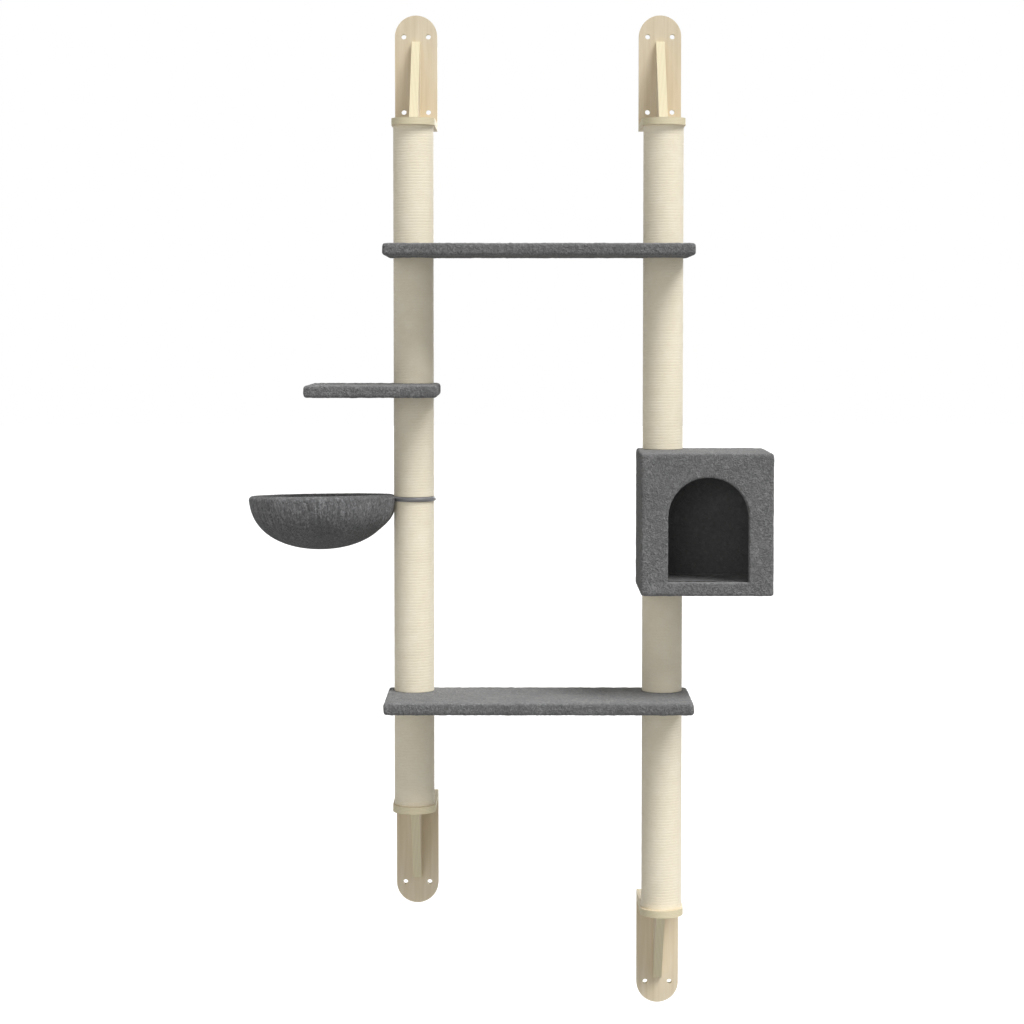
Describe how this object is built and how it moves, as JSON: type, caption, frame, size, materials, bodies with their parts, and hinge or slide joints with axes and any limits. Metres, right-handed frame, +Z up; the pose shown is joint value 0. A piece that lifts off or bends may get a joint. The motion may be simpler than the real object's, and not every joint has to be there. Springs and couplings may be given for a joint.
{
  "type": "wall mounted cat tree",
  "caption": "Wall mounted cat tree: rope wound posts on plywood brackets carry plush planks, a perch, a house with an arched door and a round basket on a swivelling ring.",
  "frame": {"origin": "centre of the four screw holes of the upper left wall plate, on the wall", "axes": "+X to the right along the wall, +Y into the wall, +Z up"},
  "size_m": [0.9009, 0.297, 1.772],
  "materials": {
    "plywood": "sanded",
    "rope": "wound sisal",
    "cardboard": "matte",
    "plug_wood": "sanded",
    "chipboard": "raw",
    "plush": "short pile",
    "lining": "short pile",
    "pouch_plush": "short pile",
    "zinc_steel": "zinc plated",
    "grey_paint": "satin",
    "brass": "turned"
  },
  "bodies": {
    "tree": {"wall_plate_upper_left": "plywood", "wall_plate_upper_right": "plywood", "wall_plate_lower_left": "plywood", "wall_plate_lower_right": "plywood", "bracket_shelf_upper_left": "plywood", "bracket_shelf_upper_right": "plywood", "bracket_shelf_lower_left": "plywood", "bracket_shelf_lower_right": "plywood", "gusset_upper_left": "plywood", "gusset_upper_right": "plywood", "gusset_lower_left": "plywood", "gusset_lower_right": "plywood", "bracket_screws": "zinc_steel", "left_tube_1": "cardboard", "left_rope_1": "rope", "left_tube_2": "cardboard", "left_rope_2": "rope", "left_tube_3": "cardboard", "left_rope_3": "rope", "left_tube_4": "cardboard", "left_rope_4": "rope", "left_tube_5": "cardboard", "left_rope_5": "rope", "right_tube_1": "cardboard", "right_rope_1": "rope", "right_tube_2": "cardboard", "right_rope_2": "rope", "right_tube_3": "cardboard", "right_rope_3": "rope", "right_tube_4": "cardboard", "right_rope_4": "rope", "left_end_plugs": "plug_wood", "right_end_plugs": "plug_wood", "threaded_inserts": "brass", "left_studs": "zinc_steel", "right_studs": "zinc_steel", "upper_plank_board": "chipboard", "upper_plank_cover": "plush", "lower_plank_board": "chipboard", "lower_plank_cover": "plush", "perch_board": "chipboard", "perch_cover": "plush", "house_front": "chipboard", "house_back": "chipboard", "house_left": "chipboard", "house_right": "chipboard", "house_top": "chipboard", "house_bottom": "chipboard", "house_cover": "plush", "house_lining": "lining", "house_bolts": "zinc_steel", "house_screws": "zinc_steel", "ring_spacer": "plug_wood"},
    "basket": {"basket_frame": "grey_paint", "basket_rim": "pouch_plush", "basket_pouch": "pouch_plush"}
  },
  "joints": [
    {"name": "basket_swivel", "type": "hinge", "parent": "tree", "child": "basket", "pos_m": [0, -0.137, -0.7457], "axis": [0, 0, 1], "range_deg": [0, 180]}
  ]
}
